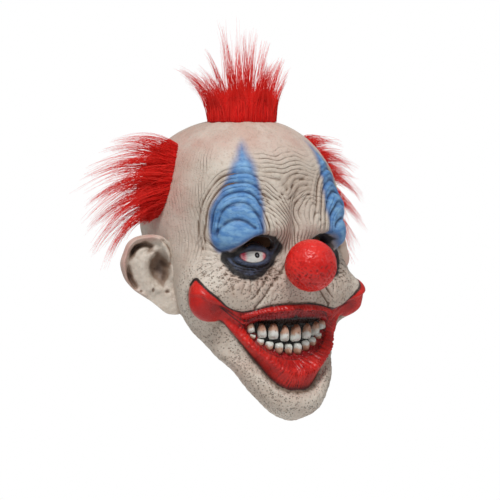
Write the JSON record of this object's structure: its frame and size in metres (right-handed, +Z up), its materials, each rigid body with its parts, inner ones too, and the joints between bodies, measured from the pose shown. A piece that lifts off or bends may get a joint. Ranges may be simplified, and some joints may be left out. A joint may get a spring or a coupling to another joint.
{
  "type": "clown mask",
  "caption": "Hollow overhead latex clown mask with a ball nose, flared ears, wide toothed grin, false eyes under see-through slits, and fur tufts on the crown and sides.",
  "frame": {"origin": "crown seat: the point inside the crown where the top of the wearer's head meets the latex", "axes": "+Z up along the wearer's neck and head, face looks along -Y, wearer's right side is -X"},
  "size_m": [0.326, 0.2415, 0.3668],
  "materials": {
    "latex": "satin",
    "fur": "matt"
  },
  "bodies": {
    "root": {"latex_shell": "latex", "crown_tuft": "fur", "right_tuft": "fur", "left_tuft": "fur"}
  },
  "joints": []
}
